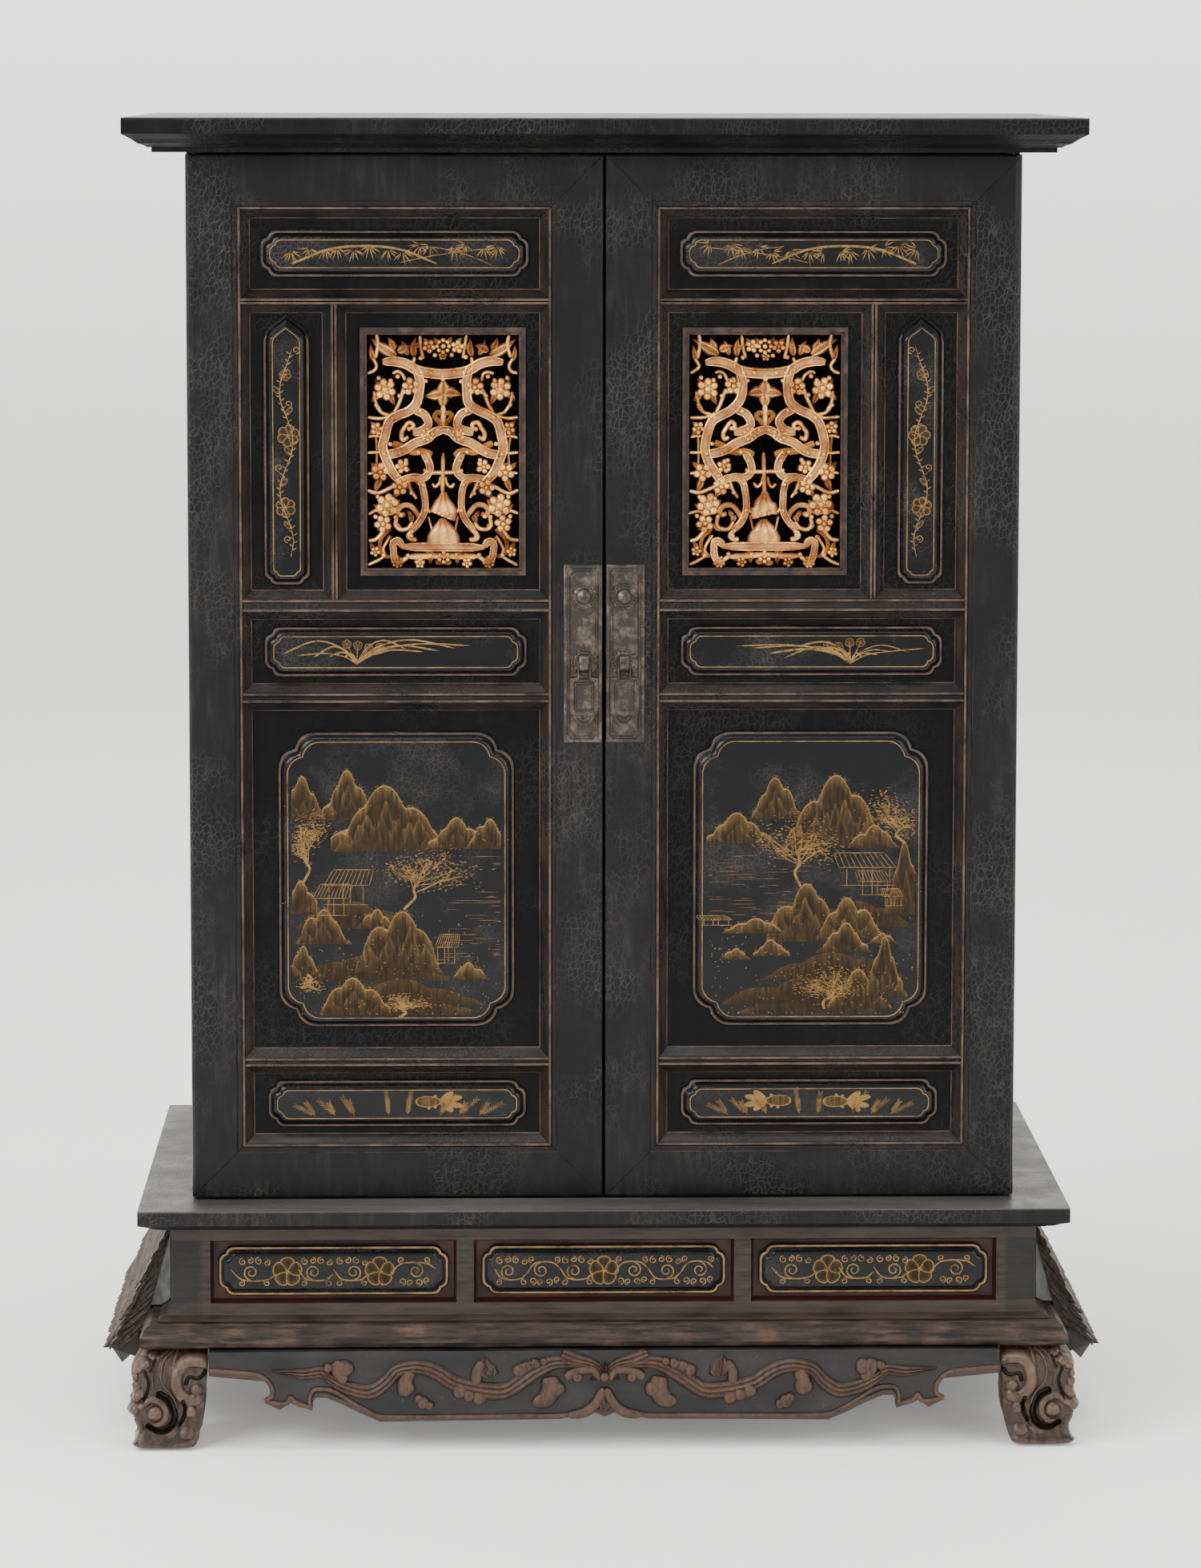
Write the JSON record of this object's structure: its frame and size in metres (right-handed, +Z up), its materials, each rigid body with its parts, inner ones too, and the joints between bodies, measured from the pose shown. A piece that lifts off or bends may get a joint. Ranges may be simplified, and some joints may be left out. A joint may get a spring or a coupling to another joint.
{
  "type": "lacquered wood shrine",
  "caption": "Black lacquered cabinet shrine with a pair of panelled and pierced gilt doors on a waisted stand with carved apron and scroll feet.",
  "frame": {"origin": "on the floor, in the middle of the four feet", "axes": "+X to the right as the doors are faced, +Y from the doors to the back, +Z up"},
  "size_m": [0.828, 0.451, 1.09],
  "materials": {
    "lacquer": "black lacquer on wood, satin, crazed and scuffed",
    "worn_lacquer": "black lacquer worn to brown on its edges",
    "red_lacquer": "dark red lacquer",
    "gilding": "gilt carving over a red ground, rubbed",
    "carved_wood": "carved wood with worn red-brown lacquer",
    "greyed_wood": "greyed carved wood",
    "bronze": "darkened bronze fittings"
  },
  "bodies": {
    "root": {"cornice_board": "lacquer", "cabinet_side_left": "lacquer", "cabinet_side_right": "lacquer", "cabinet_back": "lacquer", "cabinet_shelf": "worn_lacquer", "stand_top": "lacquer", "waist_front": "red_lacquer", "waist_back": "worn_lacquer", "waist_side_left": "worn_lacquer", "waist_side_right": "worn_lacquer", "waist_cartouche_left": "lacquer", "waist_cartouche_center": "lacquer", "waist_cartouche_right": "lacquer", "base_moulding": "worn_lacquer", "apron_front": "carved_wood", "apron_left": "carved_wood", "apron_right": "carved_wood", "apron_back": "worn_lacquer", "foot_front_left": "carved_wood", "foot_front_right": "carved_wood", "foot_back_left": "carved_wood", "foot_back_right": "carved_wood", "wing_left": "greyed_wood", "wing_right": "greyed_wood"},
    "left_door": {"left_door_outer_stile": "lacquer", "left_door_inner_stile": "lacquer", "left_door_top_rail": "lacquer", "left_door_rail_a": "worn_lacquer", "left_door_rail_b": "worn_lacquer", "left_door_rail_c": "worn_lacquer", "left_door_rail_d": "worn_lacquer", "left_door_bottom_rail": "lacquer", "left_door_muntin": "worn_lacquer", "left_door_top_panel": "lacquer", "left_door_narrow_panel": "lacquer", "left_door_pierced_panel": "gilding", "left_door_middle_panel": "lacquer", "left_door_landscape_panel": "lacquer", "left_door_bottom_panel": "lacquer", "left_door_handle_plate": "bronze", "left_door_staple": "bronze"},
    "left_pull": {"left_door_pull": "bronze"},
    "right_door": {"right_door_outer_stile": "lacquer", "right_door_inner_stile": "lacquer", "right_door_top_rail": "lacquer", "right_door_rail_a": "worn_lacquer", "right_door_rail_b": "worn_lacquer", "right_door_rail_c": "worn_lacquer", "right_door_rail_d": "worn_lacquer", "right_door_bottom_rail": "lacquer", "right_door_muntin": "worn_lacquer", "right_door_top_panel": "lacquer", "right_door_narrow_panel": "lacquer", "right_door_pierced_panel": "gilding", "right_door_middle_panel": "lacquer", "right_door_landscape_panel": "lacquer", "right_door_bottom_panel": "lacquer", "right_door_handle_plate": "bronze", "right_door_staple": "bronze"},
    "right_pull": {"right_door_pull": "bronze"}
  },
  "joints": [
    {"name": "left_door_hinge", "type": "hinge", "parent": "root", "child": "left_door", "pos_m": [-0.329, -0.16, 0.199], "axis": [0, 0, -1], "range_deg": [0, 170]},
    {"name": "right_door_hinge", "type": "hinge", "parent": "root", "child": "right_door", "pos_m": [0.329, -0.16, 0.199], "axis": [0, 0, 1], "range_deg": [0, 170]},
    {"name": "left_pull_swing", "type": "hinge", "parent": "left_door", "child": "left_pull", "pos_m": [-0.0165, -0.1764, 0.646], "axis": [-1, 0, 0], "range_deg": [0, 170]},
    {"name": "right_pull_swing", "type": "hinge", "parent": "right_door", "child": "right_pull", "pos_m": [0.0165, -0.1764, 0.646], "axis": [-1, 0, 0], "range_deg": [0, 170]}
  ]
}
